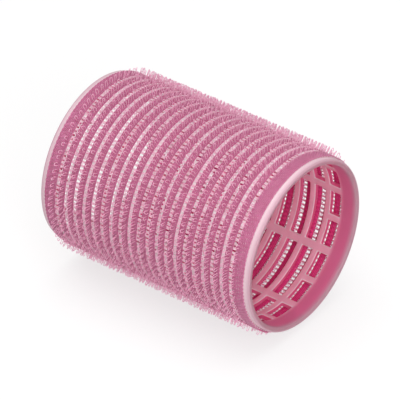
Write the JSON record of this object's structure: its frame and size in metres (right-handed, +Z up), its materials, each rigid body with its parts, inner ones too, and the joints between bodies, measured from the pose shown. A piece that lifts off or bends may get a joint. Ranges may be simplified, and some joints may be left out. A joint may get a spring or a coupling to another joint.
{
  "type": "hair roller",
  "caption": "Self-grip hair roller: a lattice plastic tube wrapped once in a pink woven tape with rows of small hooks, open from end to end.",
  "frame": {"origin": "on the surface that the roller lies on, below the middle of its axis", "axes": "+X along the roller's axis, +Z up, with the roller lying on its side"},
  "size_m": [0.063, 0.0484, 0.0483],
  "materials": {
    "core_plastic": "natural translucent moulded polypropylene, satin, which takes up the pink of the tape",
    "band_yarn": "pink woven synthetic yarn, matt with a soft sheen",
    "cross_thread": "fine pale synthetic thread, nearly white",
    "melted_tape": "melted and pressed synthetic cloth, slightly glossy",
    "hook_nylon": "clear pink nylon monofilament"
  },
  "bodies": {
    "root": {"core": "core_plastic", "tape_band_01": "band_yarn", "tape_band_02": "band_yarn", "tape_band_03": "band_yarn", "tape_band_04": "band_yarn", "tape_band_05": "band_yarn", "tape_band_06": "band_yarn", "tape_band_07": "band_yarn", "tape_band_08": "band_yarn", "tape_band_09": "band_yarn", "tape_band_10": "band_yarn", "tape_band_11": "band_yarn", "tape_band_12": "band_yarn", "tape_band_13": "band_yarn", "tape_band_14": "band_yarn", "tape_band_15": "band_yarn", "tape_band_16": "band_yarn", "tape_band_17": "band_yarn", "tape_band_18": "band_yarn", "tape_band_19": "band_yarn", "tape_band_20": "band_yarn", "tape_band_21": "band_yarn", "weft_threads": "cross_thread", "tape_weld": "melted_tape", "hook_row_01": "hook_nylon", "hook_row_02": "hook_nylon", "hook_row_03": "hook_nylon", "hook_row_04": "hook_nylon", "hook_row_05": "hook_nylon", "hook_row_06": "hook_nylon", "hook_row_07": "hook_nylon", "hook_row_08": "hook_nylon", "hook_row_09": "hook_nylon", "hook_row_10": "hook_nylon", "hook_row_11": "hook_nylon", "hook_row_12": "hook_nylon", "hook_row_13": "hook_nylon", "hook_row_14": "hook_nylon", "hook_row_15": "hook_nylon", "hook_row_16": "hook_nylon", "hook_row_17": "hook_nylon", "hook_row_18": "hook_nylon", "hook_row_19": "hook_nylon", "hook_row_20": "hook_nylon", "hook_row_21": "hook_nylon"}
  },
  "joints": []
}
